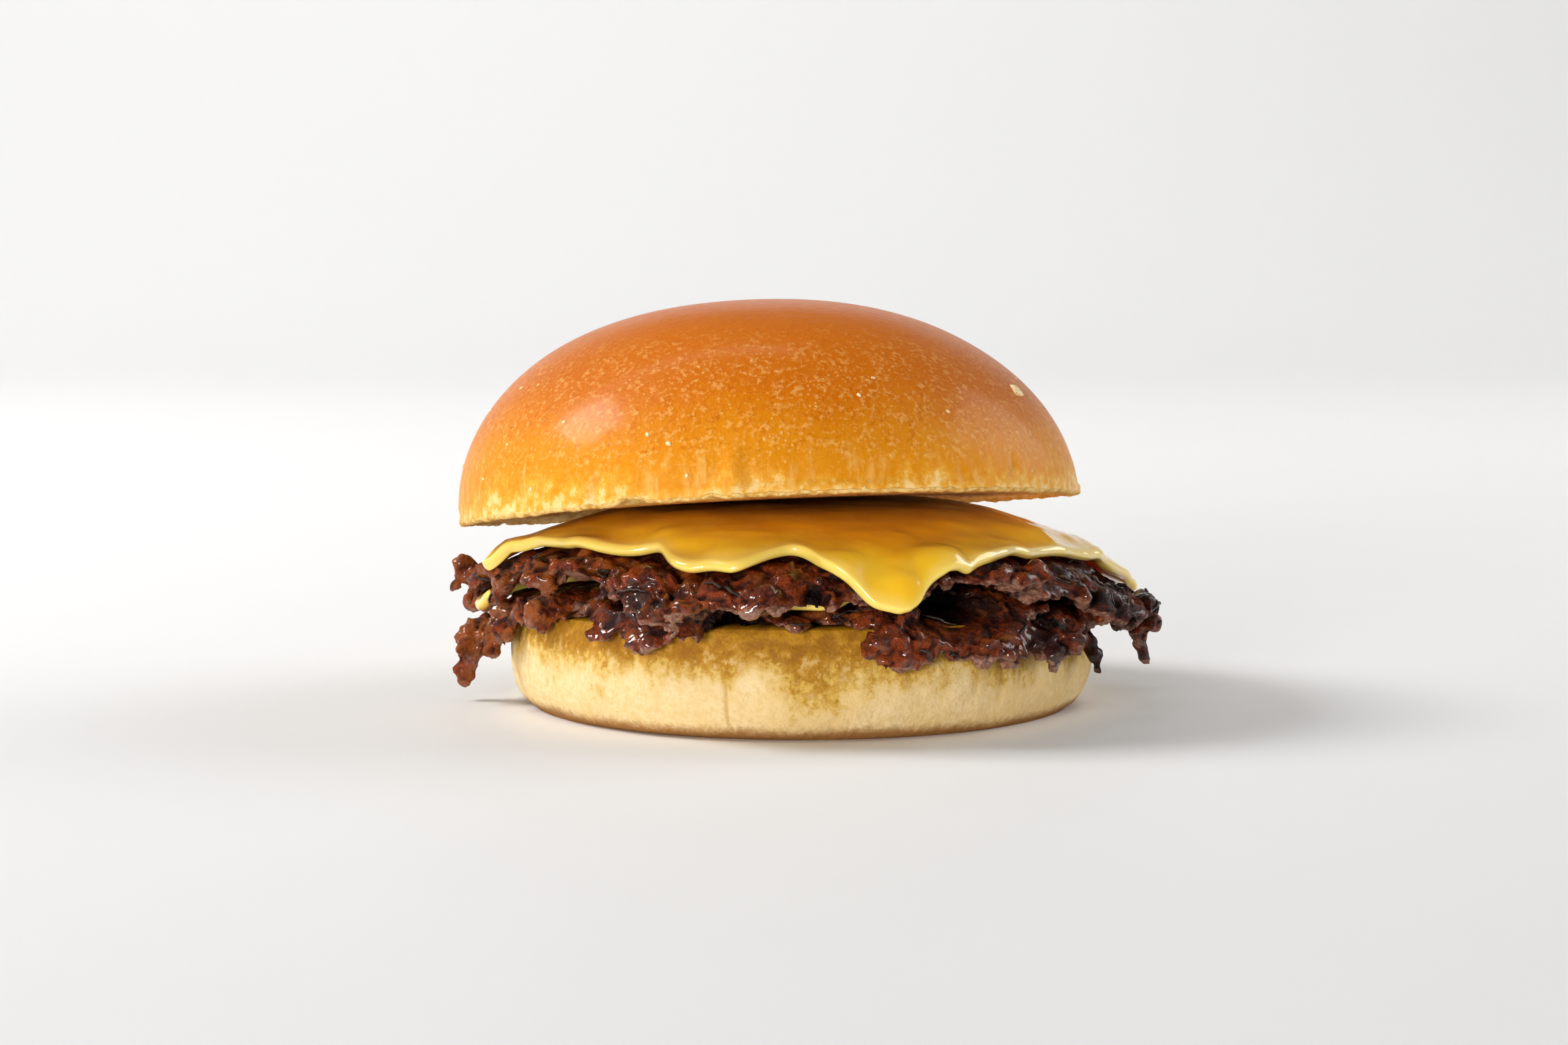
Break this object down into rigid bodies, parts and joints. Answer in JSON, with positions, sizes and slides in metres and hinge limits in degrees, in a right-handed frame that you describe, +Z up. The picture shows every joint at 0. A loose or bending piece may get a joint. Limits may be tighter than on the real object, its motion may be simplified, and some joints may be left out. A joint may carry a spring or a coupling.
{
  "type": "cheeseburger",
  "caption": "Double cheeseburger with thin ragged smashed beef patties and melted cheese slices in a round soft bun.",
  "frame": {"origin": "centre of the flat base of the bun's heel, which the burger stands on", "axes": "+Z up through the layers, -Y towards the side with the hanging corner of cheese, +X to the right when seen from that side"},
  "size_m": [0.1161, 0.1065, 0.065],
  "materials": {
    "bread": "pale soft bread side of a bun, browned in a thin ring round its base and stained with fat at the top",
    "beef": "dark seared minced beef, wet with fat, black where it is charred",
    "cheese": "melted yellow cheese with a soft sheen",
    "crust": "golden brown glazed crust, paler towards the cut edge"
  },
  "bodies": {
    "root": {"bun_heel": "bread", "patty_lower": "beef", "cheese_lower": "cheese", "patty_upper": "beef", "cheese_upper": "cheese", "bun_crown": "crust"}
  },
  "joints": []
}
